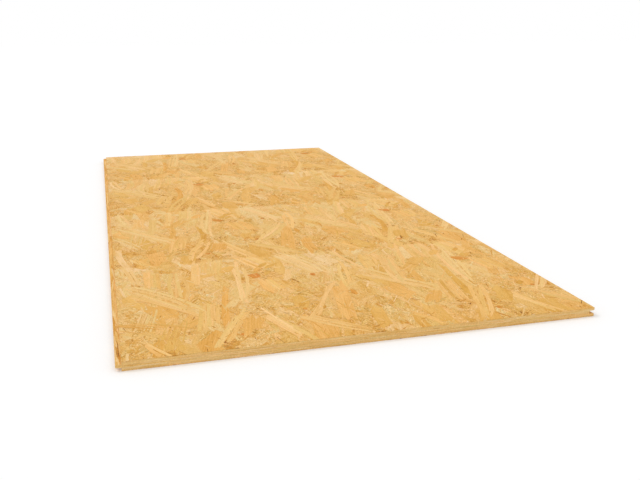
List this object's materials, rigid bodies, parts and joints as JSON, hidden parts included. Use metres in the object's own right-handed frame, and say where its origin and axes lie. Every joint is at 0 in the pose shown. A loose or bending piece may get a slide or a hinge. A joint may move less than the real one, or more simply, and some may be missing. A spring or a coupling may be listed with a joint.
{
  "type": "tongue-and-groove osb board",
  "caption": "Flat board of pressed wood strands with square-sawn ends, a tapered tongue along one long edge and the matching groove along the other, for floors, roofs and walls.",
  "frame": {"origin": "under the middle of the board's outer box (tongue included), on the level that it lies on", "axes": "+Z out of the face, +Y along the length and the joint, tongue at -X and groove at +X"},
  "size_m": [0.91, 2, 0.018],
  "materials": {
    "osb": "pressed strands, dull sheen"
  },
  "bodies": {
    "root": {"board": "osb"}
  },
  "joints": []
}
